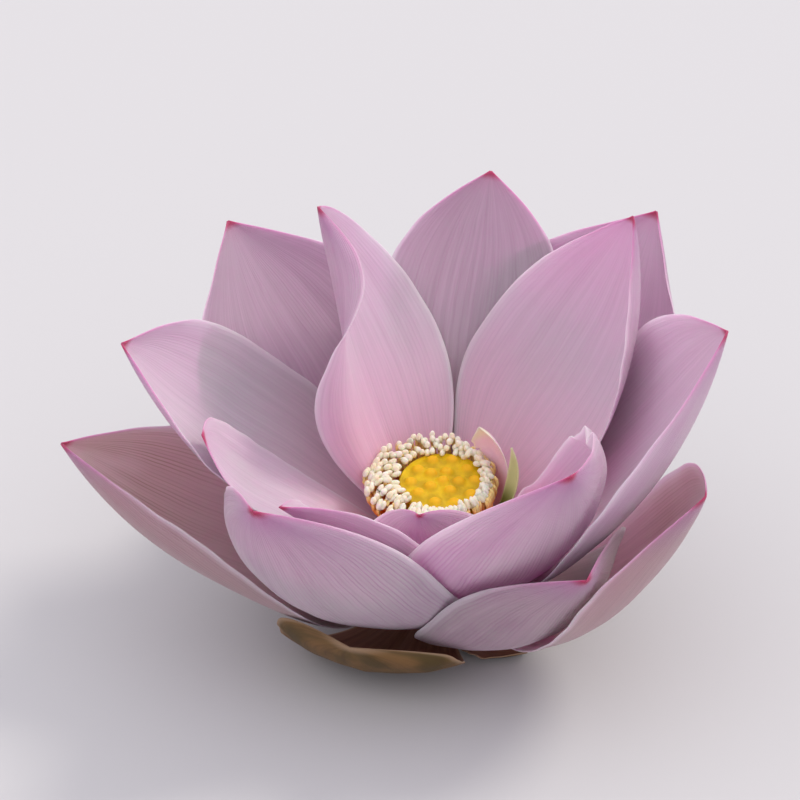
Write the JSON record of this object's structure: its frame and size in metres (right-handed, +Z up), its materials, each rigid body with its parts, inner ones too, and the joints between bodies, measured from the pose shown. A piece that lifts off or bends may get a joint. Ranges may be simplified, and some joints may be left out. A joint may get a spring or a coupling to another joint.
{
  "type": "lotus flower",
  "caption": "Open pink lotus flower as picked: cupped petals round a yellow disc and a ring of cream stamens, resting on its sepals.",
  "frame": {"origin": "middle of the flower's footprint, on the surface it rests on", "axes": "+Z up out of the flower; -Y towards the viewer; +X to the viewer's right"},
  "size_m": [0.1728, 0.1472, 0.1084],
  "materials": {
    "petal": "satin",
    "sepal": "matte",
    "disc": "satin",
    "stamen": "satin",
    "petaloid_pink": "satin",
    "petaloid_green": "satin",
    "stem": "matte"
  },
  "bodies": {
    "root": {"petal_twisted": "petal", "petal_inner_right": "petal", "petal_inner_front": "petal", "petal_inner_front_left": "petal", "petal_inner_left": "petal", "petal_back": "petal", "petal_front_right": "petal", "petal_left": "petal", "petal_right": "petal", "petal_back_left": "petal", "petal_back_right": "petal", "petal_front_left": "petal", "petal_low_front_right": "petal", "petal_low_left": "petal", "petal_low_right": "petal", "petal_low_back_right": "petal", "petal_low_back": "petal", "petal_low_back_left": "petal", "sepal_front_left": "sepal", "sepal_front_right": "sepal", "sepal_back_right": "sepal", "sepal_back_left": "sepal", "petaloid_pink": "petaloid_pink", "petaloid_green": "petaloid_green", "receptacle": "disc", "stamens": "stamen", "stem_stub": "stem"}
  },
  "joints": []
}
